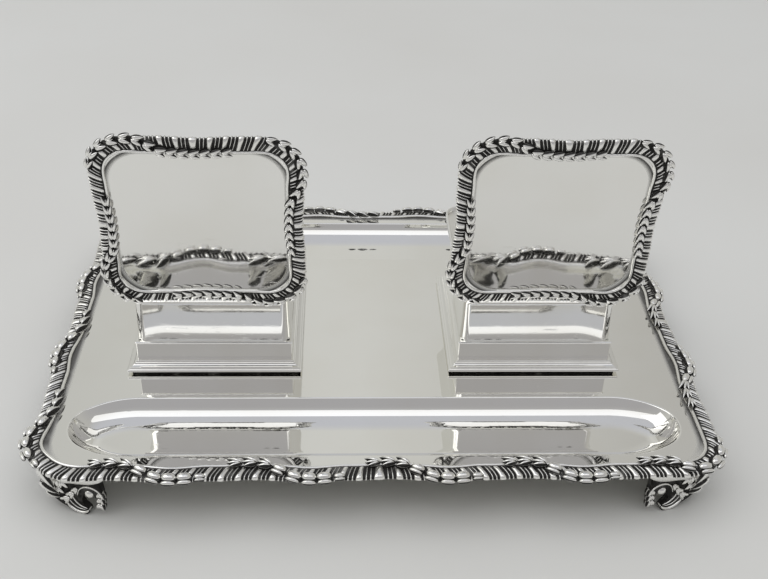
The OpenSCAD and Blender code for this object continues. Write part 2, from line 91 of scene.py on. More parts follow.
def filled(points, faces, loops):
    """Points and faces, with the flat area between loops of point numbers filled with triangles."""
    bm = bmesh.new()
    verts = [bm.verts.new(p) for p in points]
    for f in faces:
        bm.faces.new([verts[i] for i in f])
    pairs = [(verts[a], verts[b]) for loop in loops for a, b in zip(loop, np.roll(loop, -1))]
    edges = [bm.edges.get(pair) or bm.edges.new(pair) for pair in pairs]
    bmesh.ops.triangle_fill(bm, edges=edges, use_beauty=True, normal=(0, 0, 1))
    bm.verts.index_update()
    result = [tuple(v.co) for v in bm.verts], [[v.index for v in f.verts] for f in bm.faces]
    bm.free()
    return result


def joined(parts):
    """Several (points, faces, hollow) parts as one."""
    points, faces, hollow, start = [], [], [], 0
    for p, f, h in parts:
        points.append(np.asarray(p, float))
        faces += [[start + i for i in face] for face in f]
        hollow.append(np.broadcast_to(np.asarray(h, float), (len(p),)))
        start += len(p)
    return np.vstack(points), faces, np.concatenate(hollow)


# The finish of each slot. The cells on finishes below fill it in.
finishes = {}


def make_piece(name, points, faces, body, slot, replaces, hollow=None, crease=None):
    """An object from points in millimetres, riding on a body in place of the frame's own parts. Its
    finish is the one made for its slot, and edges sharper than the crease's angle stay sharp."""
    mesh = bpy.data.meshes.new(name)
    mesh.from_pydata((np.asarray(points, float) * MM).tolist(), [], faces)
    if hollow is not None:
        mesh.attributes.new("hollow", "FLOAT", "POINT").data.foreach_set(
            "value", np.asarray(hollow, np.float32))
    bm = bmesh.new()
    bm.from_mesh(mesh)
    bmesh.ops.recalc_face_normals(bm, faces=bm.faces)
    bm.to_mesh(mesh)
    bm.free()
    mesh.shade_smooth()
    if crease:
        mesh.set_sharp_from_angle(angle=math.radians(crease))
    piece = bpy.data.objects.new(name, mesh)
    bpy.context.scene.collection.objects.link(piece)
    piece.data.materials.append(finishes[slot])
    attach(piece, body)
    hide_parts(*replaces)
    print(f"{name}: {len(mesh.vertices)} points for {', '.join(replaces) or 'no solid of its own'}")
    return piece

# %% [markdown]
# ## Polished silver
# A polished surface is a mirror with small faults. Fingers leave soft clouds that blur it a little,
# cleaning cloths leave hairline scratches, and the hammered and rolled sheet is never quite flat,
# so reflections swim slightly. In the grooves the metal keeps its black sulphide skin, and the same
# black is used as painted shade where shadow falls on plain silver. All silver here shares these
# effects, so they form one node group with its own knobs. It gives out a colour and values, and
# each finish feeds them to its own shader.

# %% Helpers that wire up nodes
def add(tree, kind, links=(), **settings):
    """A new node with its settings, and its inputs linked to outputs or set to values."""
    node = tree.nodes.new(kind)
    for key, value in settings.items():
        setattr(node, key, value)
    for socket, source in dict(links).items():
        if isinstance(source, bpy.types.NodeSocket):
            tree.links.new(source, node.inputs[socket])
        else:
            node.inputs[socket].default_value = source
    return node


def calc(tree, operation, a, b=0.0, clamp=False):
    """The result of one sum between two values or outputs."""
    return add(tree, "ShaderNodeMath", {0: a, 1: b}, operation=operation, use_clamp=clamp).outputs[0]


def spread(tree, value, low, high, to_low=0.0, to_high=1.0):
    """A value's range from low to high, stretched to a new range."""
    return add(tree, "ShaderNodeMapRange", {"Value": value, "From Min": low, "From Max": high,
                                            "To Min": to_low, "To Max": to_high}).outputs[0]


def blend_colours(tree, factor, a, b):
    return add(tree, "ShaderNodeMix", {0: factor, 6: a, 7: b}, data_type="RGBA").outputs[2]


def new_group(name, inputs):
    """A shader group and its knobs: named inputs with their first value, a number or a colour."""
    group = bpy.data.node_groups.new(name, "ShaderNodeTree")
    for socket, value in inputs.items():
        kind = "NodeSocketFloat" if isinstance(value, float) else "NodeSocketColor"
        group.interface.new_socket(socket, in_out="INPUT", socket_type=kind).default_value = value
    return group, add(group, "NodeGroupInput").outputs


def give_out(group, results):
    """Makes named results the outputs of a group. Only the colour isn't a plain number."""
    for socket in results:
        kind = "NodeSocketColor" if socket == "Colour" else "NodeSocketFloat"
        group.interface.new_socket(socket, in_out="OUTPUT", socket_type=kind)
    add(group, "NodeGroupOutput", results)


def noise_at(tree, scale, stretch=(1, 1, 1), turn=(0, 0, 0), detail=2.0):
    """Noise fixed to the object, with its grain stretched and turned."""
    place = add(tree, "ShaderNodeTexCoord").outputs["Object"]
    place = add(tree, "ShaderNodeMapping", {"Vector": place, "Rotation": turn, "Scale": stretch}).outputs[0]
    return add(tree, "ShaderNodeTexNoise", {"Vector": place, "Scale": scale, "Detail": detail}).outputs["Fac"]


def new_material(name):
    """A new material, its node tree and its shader."""
    material = bpy.data.materials.new(name)
    material.use_nodes = True
    return material, material.node_tree, material.node_tree.nodes["Principled BSDF"]


def group_finish(name, group, knobs, ripple):
    """A finish fed by a group with its knobs set. Ripple is the depth in metres of the group's height."""
    finish, tree, shader = new_material(name)
    worn = add(tree, "ShaderNodeGroup", knobs, node_tree=group)
    if "Patina_And_Shade" in worn.inputs:
        depth = add(tree, "ShaderNodeAttribute", attribute_name="hollow").outputs["Fac"]
        tree.links.new(depth, worn.inputs["Patina_And_Shade"])
    for out, socket in (("Colour", "Base Color"), ("Roughness", "Roughness"), ("Metallic", "Metallic")):
        if out in worn.outputs:
            tree.links.new(worn.outputs[out], shader.inputs[socket])
    bump = add(tree, "ShaderNodeBump", {"Height": worn.outputs["Height"], "Distance": ripple})
    tree.links.new(bump.outputs[0], shader.inputs["Normal"])
    return finish, shader

# %% The group for worn silver
silver, knob = new_group("worn_silver", {
    "Patina_And_Shade": 0.0, "Metal": (0.93, 0.925, 0.90, 1), "Tarnish_And_Shade": (0.012, 0.011, 0.010, 1), "Haze": 0.06,
    "Scratches": 1.0, "Waviness": 1.0})
cloud = noise_at(silver, 26, detail=3)
fine_cloud = noise_at(silver, 190, detail=4)
line_a = noise_at(silver, 60, stretch=(1.5, 26, 12), turn=(0, 0, 0.5))
line_b = noise_at(silver, 60, stretch=(22, 1.2, 12), turn=(0, 0, 0.35))
lines = calc(silver, "MAXIMUM", spread(silver, line_a, 0.66, 0.74), spread(silver, line_b, 0.67, 0.75))
lines = calc(silver, "MULTIPLY", lines, knob["Scratches"])
# Black from the point's number: tarnish in the grooves, painted shade on plain silver.
black = spread(silver, knob["Patina_And_Shade"], 0.15, 0.55)
black = calc(silver, "MULTIPLY", black, spread(silver, fine_cloud, 0.2, 0.45, 0.8, 1.0), clamp=True)
warm = spread(silver, cloud, 0.42, 0.72, 0.0, 0.35)
warm = blend_colours(silver, warm, knob["Metal"], (0.86, 0.84, 0.78, 1))
colour = blend_colours(silver, black, warm, knob["Tarnish_And_Shade"])
haze = calc(silver, "MULTIPLY", knob["Haze"], spread(silver, cloud, 0.3, 0.7, 0.75, 1.5))
haze = calc(silver, "ADD", haze, calc(silver, "MULTIPLY", lines, 0.10))
haze = calc(silver, "ADD", haze, calc(silver, "MULTIPLY", black, 0.45), clamp=True)
metallic = calc(silver, "SUBTRACT", 1.0, calc(silver, "MULTIPLY", black, 0.8))
wave = calc(silver, "MULTIPLY", noise_at(silver, 17, detail=1.0), knob["Waviness"])
height = calc(silver, "SUBTRACT", wave, calc(silver, "MULTIPLY", lines, 0.02))
give_out(silver, {"Colour": colour, "Roughness": haze, "Metallic": metallic, "Height": height})
print("worn_silver group:", len(silver.nodes), "nodes")

# %% Silver finishes
# For each slot: the finish's name, the colour of the metal, haze, scratches, waviness and ripple.
SILVERS = {
    "polished_silver": ("polished_sheet_silver", (0.94, 0.935, 0.91, 1), 0.03, 1.0, 1.0, 0.00006),
    "wire_silver": ("drawn_wire_silver", (0.94, 0.935, 0.91, 1), 0.10, 0.6, 0.3, 0.00004),
    "cast_silver": ("cast_silver", (0.93, 0.925, 0.90, 1), 0.13, 0.5, 0.5, 0.00005),
    "plain_silver": ("unpolished_silver", (0.80, 0.79, 0.76, 1), 0.26, 0.8, 0.6, 0.00006)}
for slot, (name, metal, haze, scratches, waviness, ripple) in SILVERS.items():
    knobs = {"Metal": metal, "Haze": haze, "Scratches": scratches, "Waviness": waviness}
    finishes[slot] = group_finish(name, silver, knobs, ripple)[0]
print("finishes:", [finish.name for finish in finishes.values()])

# %% [markdown]
# ## The tray
# The tray is one flat sheet with two long hollows sunk into it for pens. A hollow is built as rings
# that follow its outline: first flat rings on the sheet, then the rounded lip, the curved wall and
# the flat floor. Its ends are drawn with three arcs, as a draughtsman draws an oval, because rings
# at any distance inside such an outline are arcs again. The flat rings keep the reflections of the
# sheet free of the lip's shading. A Solidify modifier gives the sheet its thickness.

# %% The outline of a pen trough
TROUGH_HALF, TROUGH_Y, TROUGH_END = 17.8, 72.6, 124.0
ARCH, TIP_R = 26.0, 13.6
SHOULDER_R = (ARCH ** 2 + TROUGH_HALF ** 2 - 2 * ARCH * TIP_R) / (2 * (TROUGH_HALF - TIP_R))


def trough_ring(inset):
    """Points of the trough's outline, counter-clockwise, moved inwards by the inset."""
    start, drop = TROUGH_END - ARCH, SHOULDER_R - TROUGH_HALF
    tip = ARCH - TIP_R
    turn = math.atan2(drop, tip)
    quarter = [(start + tip + (TIP_R - inset) * math.cos(a), (TIP_R - inset) * math.sin(a))
               for a in np.linspace(0, turn, 20)]
    quarter += [(start + (SHOULDER_R - inset) * math.cos(a), (SHOULDER_R - inset) * math.sin(a) - drop)
                for a in np.linspace(turn, math.pi / 2, 18)[1:]]
    quarter += [(x, TROUGH_HALF - inset) for x in np.linspace(start, 0, 9)[1:]]
    q = np.array(quarter)
    half = np.vstack([q, (q * (-1, 1))[::-1][1:]])
    return np.vstack([half, (half * (1, -1))[::-1][1:-1]])

# %% The wall of a pen trough
WALL_R, WALL_TURN, DEPTH, RUN, LIP_R = 14.24, math.radians(64), 8.0, 12.8, 0.9
lip = LIP_R * math.tan(WALL_TURN / 2)
trough_wall = [(-lip - flat, 0.0) for flat in (1.2, 0.5)]
for a in np.linspace(0, WALL_TURN, 8):
    trough_wall.append((-lip + LIP_R * math.sin(a), -LIP_R * (1 - math.cos(a))))
clear, turns = trough_wall[-1][0] + 0.1, np.linspace(WALL_TURN, 0, 26)
wall = [(RUN - WALL_R * math.sin(a), WALL_R * (1 - math.cos(a)) - DEPTH) for a in turns]
trough_wall += [(inset, z) for inset, z in wall if inset > clear] + [(RUN + 0.35, -DEPTH)]
print("rings in a trough:", len(trough_wall))

# %% The tray's sheet
def rounded_loop(hl, hd, r, steps=24):
    """A rounded rectangle, counter-clockwise."""
    arc = [(hl - r + r * math.cos(a), hd - r + r * math.sin(a)) for a in np.linspace(0, math.pi / 2, steps)]
    q = np.array(arc)
    half = np.vstack([q, (q * (-1, 1))[::-1]])
    return np.vstack([half, (half * (1, -1))[::-1]])


# Rings along the sheet's edge, as (distance in from the edge, how dark the painted shade makes the sheet
# there).
SHADE = [(12.4, 0.0), (11.6, 0.16), (10.8, 0.34), (9.8, 0.50), (8.8, 0.52), (4.8, 0.52)]


def tray_sheet():
    """The sheet's upper face with both hollows, as points, faces and how dark each point is. Beside
    the wire the sheet is darkened with painted shade, where the border shades it and is mirrored in
    it, least at the front."""
    points, faces, loops, start = [], [], [], 0
    for side in (-1, 1):
        outlines = [trough_ring(inset) + (0, side * TROUGH_Y) for inset, _ in trough_wall]
        count = len(outlines[0])
        points += [np.c_[line, np.full(count, TRAY_Z + z)] for line, (_, z) in zip(outlines, trough_wall)]
        faces += [[start + i for i in f] for f in grid_faces(len(outlines), count)]
        loops.append(range(start, start + count))
        start += count * len(outlines)
        faces.append(list(range(start - count, start)))
    rims = [rounded_loop(HALF_W - i, HALF_D - i, CORNER - i) for i, _ in SHADE]
    count = len(rims[0])
    points += [np.c_[rim, np.full(count, TRAY_Z)] for rim in rims]
    loops.append(range(start, start + count))
    faces += [[start + i for i in f[::-1]] for f in grid_faces(len(rims), count)]
    points, faces = filled(np.vstack(points), faces, loops)
    hollow = np.zeros(len(points))
    # Painted shade along the wire, fading out towards the front of the tray.
    for k, (rim, (_, dark)) in enumerate(zip(rims, SHADE)):
        first = start + k * count
        hollow[first:first + count] = dark * np.clip((rim[:, 1] + HALF_D) / 16 - 0.4, 0, 1)
    return points, faces, hollow


points, faces, hollow = tray_sheet()
tray = make_piece("tray_sheet", points, faces, "tray", "polished_silver", ["tray_plate"], hollow)
solid = tray.modifiers.new("thickness", "SOLIDIFY")
solid.thickness, solid.offset, solid.use_even_offset = SHEET * MM, -1, True
thick_sheet = bpy.data.meshes.new_from_object(tray.evaluated_get(bpy.context.evaluated_depsgraph_get()))
tray.modifiers.clear()
tray.data = thick_sheet
print("tray sheet:", len(tray.data.polygons), "faces")

# %% [markdown]
# ## Runs round a rounded rectangle
# The wire and the cast border follow the tray's edge, and a smaller pair follows each lid. A run is
# measured by its length along the middle of the border, counter-clockwise from the middle of the
# front. One function turns such a length into a point on the border's inner edge and the direction
# that faces outwards there. Everything on the border is placed with those two. The path also bends
# in and out a little with the sprays of husks, so the silver has a gently waved outline.

# %% The path of a border
ROLL_OVER = 2.8


class Border:
    """The path of a border w wide inside a rounded rectangle that reaches hl and hd to its sides."""

    def __init__(self, hl, hd, r, w, rise, drop, lip):
        self.hl, self.hd, self.r, self.w = hl, hd, r, w
        self.rise, self.drop, self.lip = rise, drop, lip
        self.arc = (r - w / 2) * math.pi / 2
        self.bends = []
        self.straight = [2 * (hl - r), 2 * (hd - r)] * 2
        self.length = sum(self.straight) + 4 * self.arc

    def middle(self, side):
        """Length at which the middle of side 0 (front), 1 (right), 2 (back) or 3 (left) lies."""
        return sum(self.straight[:side]) + side * self.arc + (self.straight[side] - self.straight[0]) / 2

    def half(self, side):
        """Length from the middle of a side to the middle of the corner after it."""
        return (self.straight[side] + self.arc) / 2

    def edge(self, u):
        """Points on the inner edge and outward directions at lengths u."""
        u = (np.asarray(u, float) + self.straight[0] / 2) % self.length
        place, out = np.zeros(u.shape + (2,)), np.zeros(u.shape + (2,))
        start = 0.0
        for side in range(4):
            a, b = (self.hl, self.hd) if side % 2 == 0 else (self.hd, self.hl)
            t = u - start
            here = (t >= 0) & (t < self.straight[side] + self.arc)
            turn = np.clip((t[here] - self.straight[side]) / (self.r - self.w / 2), 0, math.pi / 2)
            o = np.stack([np.sin(turn), -np.cos(turn)], -1)
            p = np.stack([np.minimum(t[here], self.straight[side]) - (a - self.r),
                          np.full(turn.shape, self.r - b)], -1) + (self.r - self.w) * o
            q = side * math.pi / 2
            rot = np.array([[math.cos(q), math.sin(q)], [-math.sin(q), math.cos(q)]])
            place[here], out[here] = p @ rot, o @ rot
            start += self.straight[side] + self.arc
        u = u - self.straight[0] / 2
        for at, half, amount in self.bends:
            t = np.clip(((u - at + self.length / 2) % self.length - self.length / 2) / half, -1, 1)
            place += out * (amount * np.cos(t * math.pi / 2) ** 2)[..., None]
        return place, out

    def at(self, u, s, z):
        """Points s out from the inner edge at height z over the sheet."""
        place, out = self.edge(u)
        flat = place + out * np.asarray(s)[..., None]
        return np.concatenate([flat, np.broadcast_to(z, flat.shape[:-1])[..., None]], -1)

    def crown(self, s):
        """Height of the border's face s out from the inner edge, and the direction it faces. The face
        is nearly flat on top and rolls over at the outer edge."""
        s = np.clip(s, 0, self.w * 0.9995) / self.w
        tall = self.rise + self.drop
        high = (1 - s ** ROLL_OVER) ** (1 / ROLL_OVER)
        n = np.stack([s ** (ROLL_OVER - 1) / self.w, high ** (ROLL_OVER - 1) / tall], -1)
        return -self.drop + tall * high, n / np.linalg.norm(n, axis=-1, keepdims=True)


SET_IN = 1.5
tray_border = Border(HALF_W - SET_IN, HALF_D - SET_IN, CORNER - SET_IN, w=6.2, rise=1.2, drop=0.9, lip=0.5)
lid_border = Border(LID_HALF, LID_HALF, LID_CORNER, w=5.8, rise=1.1, drop=0.95, lip=0.25)
print("tray border", round(tray_border.length), "mm long, lid border", round(lid_border.length), "mm long")

# %% [markdown]
# ## Places on the tray and on the lids
# Pieces of the tray are drawn with the sheet's face at height zero and lifted into place. Pieces of
# a lid are drawn with the lid closed and the hinge's axis at the origin, and are then turned open,
# as the frame holds them at rest. The middle of a closed lid's face lies behind the axis and above it.

# %% Placing points
def on_tray(points):
    return np.asarray(points, float) + (0, 0, TRAY_Z)


def on_well(side):
    """Moves points drawn round a well's middle, with the tray's face at height zero."""
    return lambda points: np.asarray(points, float) + (SIDES[side] * WELL_X, WELL_Y, TRAY_Z)


def on_lid(side):
    """Turns points drawn on the closed lid, with the hinge's axis at the origin, to the open lid."""
    turn, axis = np.array(Matrix.Rotation(LID_OPEN, 3, "X")), (SIDES[side] * WELL_X, HINGE_Y, HINGE_Z)
    return lambda points: np.asarray(points, float) @ turn.T + axis


LID_MIDDLE = (0, 35.4, 1.4)
print("lid hinge axes at x = +-%.1f, y = %.1f, z = %.1f mm" % (WELL_X, HINGE_Y, HINGE_Z))

# %% [markdown]
# ## The gadroon border
# The casting is a row of gadroons: wide round lobes that lean away from the middle of each side,
# with two thin ribs between each pair. The grooves between them were never polished and are black.
# The columns of this mesh follow the lobes, close together where a lobe or rib turns down and wide
# apart elsewhere, so that thin ribs stay crisp without millions of faces. Sprays of husks wind over
# the border, and the casting sinks a little round them, so their places come first.

# %% The sprays of husks: where each husk lies
def spray_husks(middle, before, sizes, pitch, inner, outer):
    """Husks of one spray as (length along the border, distance out, size), inner end first. Before is
    the number of husks before its middle."""
    husks = []
    for i, size in enumerate(sizes, -before):
        ease = 0.5 + 0.5 * math.sin(math.pi / 2 * max(-1, min(1, i / 1.5)))
        husks.append((middle + i * pitch, inner + (outer - inner) * ease, size))
    return husks


TRAY_HUSK, TRAY_PITCH, LID_HUSK, LID_PITCH = 2.4, 5.8, 1.95, 4.0
TRAY_SIZES = [0.84, 0.94, 1.0, 0.98, 1.0, 1.08, 1.02, 0.62]
LID_SIZES = [0.82 + 0.22 * min(1, k / 9) for k in range(13)] + [0.79]
# On a long and on a short side of the tray: where the first spray lies, how far apart, and how many.
TRAY_SPRAYS = ((-91.8, 53.2, 5), (-44.2, 57.6, 3))
LID_SPRAY = 15.8
tray_husks, lid_husks = [], []
for side in range(4):
    first, apart, count = TRAY_SPRAYS[side % 2]
    for k in range(count):
        middle = tray_border.middle(side) + first + apart * k
        tray_husks.append(spray_husks(middle, 3, TRAY_SIZES, TRAY_PITCH, -0.7, 5.3))
    lid_husks.append(spray_husks(lid_border.middle(side) + LID_SPRAY, 7, LID_SIZES, LID_PITCH, 0.1, 5.1))

# The edge of the border waves: in beside the start of each spray and out beside its end. Each wave is
# (distance from the spray's middle in husks, half its length in husks, how far out in mm).
TRAY_WAVES = [(-1.8, 2.4, -0.7), (2.1, 2.4, 1.25)]
LID_WAVES = [(-4.2, 3.6, -0.7), (4.3, 3.8, 2.1)]
for border, sprays, pitch, waves in ((tray_border, tray_husks, TRAY_PITCH, TRAY_WAVES),
                                     (lid_border, lid_husks, LID_PITCH, LID_WAVES)):
    for spray in sprays:
        middle = min(spray, key=lambda husk: abs(husk[1] - border.w / 2))[0]
        border.bends += [(middle + at * pitch, half * pitch, out) for at, half, out in waves]
print(len(tray_husks), "sprays on the tray,", len(lid_husks), "on each lid")

# %% The gadroon casting
RIB_AT = 0.377
half_marks = [0, 0.05, 0.095, 0.125, 0.145, 0.16, 0.175, 0.19, 0.205, 0.22, 0.235, 0.27, 0.305, 0.325,
              0.34, 0.352, RIB_AT, 0.402, 0.414, 0.43, 0.446, 0.47, 0.5]
marks = np.array(half_marks + [1 - q for q in half_marks[-2:0:-1]])


def lobe_height(q, v):
    """Height of the pattern across one repeat: 1 on a lobe's crest, 0 in a groove. V runs from the
    inner edge of the border, where the lobes begin in an arch, to the outer edge, where they spread."""
    q = np.minimum(q % 1, 1 - q % 1)
    lobe = np.sqrt(np.clip(1 - (q / (0.155 + 0.07 * v * v)) ** 2, 0, 1))
    rib = 0.88 * np.sqrt(np.clip(1 - ((q - RIB_AT) / (0.032 + 0.036 * v ** 4)) ** 2, 0, 1))
    arch = 1 - (1 - min(1.0, v / 0.2)) ** 2
    return np.maximum(lobe, rib) * math.sqrt(arch)


def border_profile(border, wall_at):
    """Rows across the casting: distance out, height, normal, groove depth and place from 0 to 1."""
    rows = []
    for t in (0, 0.03, 0.07, 0.13, 0.21, 0.31, 0.42, 0.53, 0.64, 0.74, 0.83, 0.90, 0.95, 0.98, 0.9995):
        z, n = border.crown(t * border.w)
        rows.append((t * border.w, z, n[0], n[1], 0.7 + 0.3 * min(1.0, t * 2.2), 0.86 * t ** 1.25))
    low = -border.drop - border.lip
    rows += [(border.w, low + 0.5 * border.lip, 1, 0, 0.9, 0.94),
             (border.w - 0.1, low + 0.1, 0.8, -0.2, 0.8, 0.98), (border.w - 0.35, low, 0.6, 0, 0.7, 1),
             (wall_at, low, 0, 0, 0, 1), (wall_at, 0, 0, 0, 0, 1), (0, 0, 0, 0, 0, 0)]
    return np.array(rows)


def gadroon(border, repeats, lean, depth, husks, husk_wide, widen, wall_at):
    """The casting all the way round: points, faces and how deep in a groove each point lies. The
    lobe in the middle of a side is wider by widen on each half. Wall_at places the inner wall."""
    rows = border_profile(border, wall_at)
    phase, u0, slant = [], [], []
    for side in range(4):
        n = repeats[side % 2]
        pitch = (border.half(side) - widen) / n
        q = np.concatenate([k + marks for k in range(-n, n)])
        extra = widen * np.sign(q) * np.clip(np.abs(q) / 0.2, 0, 1)
        phase.append(q)
        u0.append(border.middle(side) + q * pitch + extra)
        slant.append(lean * np.tanh(q / 2.2) * np.tanh((n - np.abs(q)) / 0.9))
    phase, u0, slant = (np.concatenate(a) for a in (phase, u0, slant))
    points, hollow = [], []
    for s, z, n_s, n_z, deep, v in rows:
        u = u0 + slant * (1 - (1 - v) ** 1.8 - 0.5)
        near = np.zeros(u.shape)
        for u_h, s_h, size in (h for spray in husks for h in spray):
            du = (u - u_h + border.length / 2) % border.length - border.length / 2
            d = np.hypot(du / (1.25 * size * husk_wide), (s - s_h) / (1.12 * size * husk_wide))
            near = np.maximum(near, np.clip((1.15 - d) / 0.2, 0, 1))
        high = lobe_height(phase, v)
        sink = depth * deep * np.maximum(1 - high, 0.6 * near)
        points.append(border.at(u, s - n_s * sink, z - n_z * sink))
        hollow.append(np.maximum(np.clip(1 - high * 1.45, 0, 1), near) * (1.0 if deep else 0.35))
    return np.vstack(points), grid_faces(len(rows), len(u0), loop_rows=True), np.concatenate(hollow)


points, faces, hollow = gadroon(tray_border, repeats=(20, 15), lean=2.9, depth=0.95, husks=tray_husks,
                                husk_wide=TRAY_HUSK, widen=0.7, wall_at=2.5)
solids = ("front", "right", "back", "left", "corner_front_left", "corner_front_right", "corner_back_left",
          "corner_back_right")
make_piece("tray_gadroon", on_tray(points), faces, "tray", "cast_silver",
           ["border_" + solid for solid in solids], hollow)

# %% [markdown]
# ## Plain wires
# A round wire is soldered inside each cast border, where it hides the joint. It is a circle swept
# along the inner edge, in and out with it. It is bedded a little into the sheet, as solder fills the
# corner under it.

# %% The wires
def wire_run(border, diameter, step=0.8, sides=14):
    count = int(border.length / step)
    u = np.arange(count) * border.length / count
    rows = []
    for a in np.linspace(0, 2 * math.pi, sides, endpoint=False):
        s = -diameter / 2 * (1 - 0.999 * math.cos(a))
        rows.append(border.at(u, np.full(count, s), diameter / 2 * (0.55 + math.sin(a))))
    return np.vstack(rows), grid_faces(sides, count, loop_rows=True)


TRAY_WIRE, LID_WIRE = 1.5, 1.2
points, faces = wire_run(tray_border, TRAY_WIRE)
make_piece("tray_wire", on_tray(points), faces, "tray", "wire_silver", ["rim_wire"])

# %% [markdown]
# ## Husks
# A husk is a bud between two petals that curl away from it, and a spray is a string of them that
# grows over the border from the inside to the outside. A petal is a ring of points that swells and
# shrinks along its length to a sharp tip. Its flanks, which no cloth can reach, are black, so each
# petal has a dark outline. On the tray a spray begins with sharp leaves, and towards the outer edge
# its husks are worn and cast fuller: one large smooth bud with a lip below it.

# %% Petals
PETAL_SHAPE = [(0.0, 0.30), (0.05, 0.60), (0.14, 0.85), (0.28, 0.99), (0.44, 1.0), (0.60, 0.88),
               (0.76, 0.64), (0.90, 0.32), (1.0, 0.04)]
LEAF_SHAPE = [(0.0, 0.22), (0.05, 0.50), (0.14, 0.78), (0.28, 0.97), (0.44, 1.0), (0.60, 0.92),
              (0.76, 0.72), (0.90, 0.42), (1.0, 0.12)]
BEAD_SHAPE = [(0.0, 0.12), (0.04, 0.42), (0.13, 0.74), (0.28, 0.95), (0.5, 1.0), (0.72, 0.95),
              (0.87, 0.74), (0.96, 0.42), (1.0, 0.12)]
AROUND = 18
# Each leaf of a spear: its length, width and height against the husk's, how far up it is black, its
# turn and its place to the side.
SPEAR = [(1.2, 0.46, 1.2, 0.92, -0.42, -0.25), (1.0, 0.46, 1.0, 0.90, -0.05, 0.28),
         (0.9, 0.40, 0.8, 0.87, 0.30, 0.75)]


def petal(length, wide, high, shape, bare, bend=0.0, turn=0.0, side=0.0, start=-0.5):
    """A petal along +X with its back up +Z, turned by an angle, moved sideways, and bent to one side.
    Bare is how far up its flanks the black reaches, but its underside is only dull."""
    around = np.linspace(0, 2 * math.pi, AROUND, endpoint=False)
    across, up = np.cos(around), np.sin(around)
    points, hollow = [], []
    for a, r in shape:
        x, y = length * (a + start), side + bend * a * a
        points.append(np.stack([np.full(AROUND, x), y + wide * r * across, high * r * up], -1))
        black = np.clip((bare + 0.5 * max(0.0, 0.3 - r) - up) / 0.2, 0, 1)
        hollow.append(black * np.where(up < -0.3, 0.25, 1.0))
    points.append([[length * start - 0.02, side, 0], [length * (1 + start) + 0.02, side + bend, 0]])
    c, s = math.cos(turn), math.sin(turn)
    points = np.vstack(points) @ np.array([[c, s, 0], [-s, c, 0], [0, 0, 1]])
    return points, tipped_faces(len(shape), AROUND), np.concatenate(hollow + [[1.0, 0.2]])


def palm(length, wide, high, spread_out=0.26, bare=0.78):
    """A small bud in the fork of two plump leaves."""
    parts = [petal(length * 0.62, wide * 0.30, high * 1.08, LEAF_SHAPE, bare, start=-0.62)]
    for way in (-1, 1):
        parts.append(petal(length * 1.04, wide * 0.50, high, LEAF_SHAPE, bare, bend=way * wide * 0.10,
                           turn=way * spread_out, side=way * wide * 0.46, start=-0.44))
    return joined(parts)


def spear(length, wide, high):
    """Sharp leaves at the end of a spray, where it stands free over the wire."""
    return joined([petal(length * long, wide * broad, high * tall, PETAL_SHAPE, bare, turn=turn,
                         side=wide * side) for long, broad, tall, bare, turn, side in SPEAR])


def fat_bud(length, wide, high):
    """A large smooth bud with a lip below it, on the +Y side."""
    return joined([petal(length, wide * 0.72, high * 1.04, BEAD_SHAPE, 0.66, side=-wide * 0.20),
                   petal(length * 0.98, wide * 0.38, high * 0.72, BEAD_SHAPE, 0.50, side=wide * 0.74)])

# %% Strings of husks
def husk_string(border, husks, length, wide, high, lift, level, kind):
    """The husks of one spray, each turned along the spray. Level tips their backs up from the slope
    of the border, and kind picks the husk from its number."""
    parts = []
    u, s, size = (np.array(c) for c in zip(*husks))
    z, n = border.crown(np.minimum(s, border.w * 0.93))
    n = n + (0, level)
    n /= np.linalg.norm(n, axis=1, keepdims=True)
    lift = lift * size + 0.12 * border.w * np.clip(1 - 2.2 * s / border.w, 0, 1)
    place = border.at(u, s + n[:, 0] * lift, z + n[:, 1] * lift)
    out = border.edge(u)[1]
    up = np.concatenate([out * n[:, :1], n[:, 1:]], -1)
    along = np.gradient(place, axis=0)
    for i, (p, x, z_up, k) in enumerate(zip(place, along, up, size)):
        x = x - z_up * (x @ z_up)
        x = -x / np.linalg.norm(x)
        y = np.cross(z_up, x)
        shape, faces, hollow = kind(i)(length * min(1, k + 0.12), wide * k, high * k)
        parts.append((p + shape @ np.array([x, y, z_up]), faces, hollow))
    return joined(parts)


points, faces, hollow = joined([
    husk_string(tray_border, spray, length=5.7, wide=TRAY_HUSK, high=1.75, lift=0.2, level=0.35,
                kind=lambda i: spear if i < 3 else fat_bud) for spray in tray_husks])
make_piece("tray_husks", on_tray(points), faces, "tray", "cast_silver", [], hollow)

# %% [markdown]
# ## The feet
# Each foot is cast in one piece: a leaf folds over the tray's corner, and from it a scroll runs off
# along each side. The scroll rises to an arch, with a pearl under its top and a drop of husks at
# its end, and its lower end curls into the toe that stands on the table. A flat plate gives a
# scroll its outline. Its rims and veins are ribbons swept along a curve, thick in the middle and
# thin at the edges, and the leaves on it are husks.

# %% A ribbon along a curve
def smooth_curve(knots, count):
    """Points along a smooth curve through the knots, which may carry more numbers than x and z."""
    knots = np.asarray(knots, float)
    padded = np.vstack([2 * knots[0] - knots[1], knots, 2 * knots[-1] - knots[-2]])
    t = np.linspace(0, len(knots) - 1, count)
    i = np.minimum(t.astype(int), len(knots) - 2)
    f = (t - i)[:, None]
    a, b, c, d = (padded[i + k] for k in range(4))
    second, third = 2 * a - 5 * b + 4 * c - d, 3 * b - a - 3 * c + d
    return 0.5 * (2 * b + (c - a) * f + second * f ** 2 + third * f ** 3)


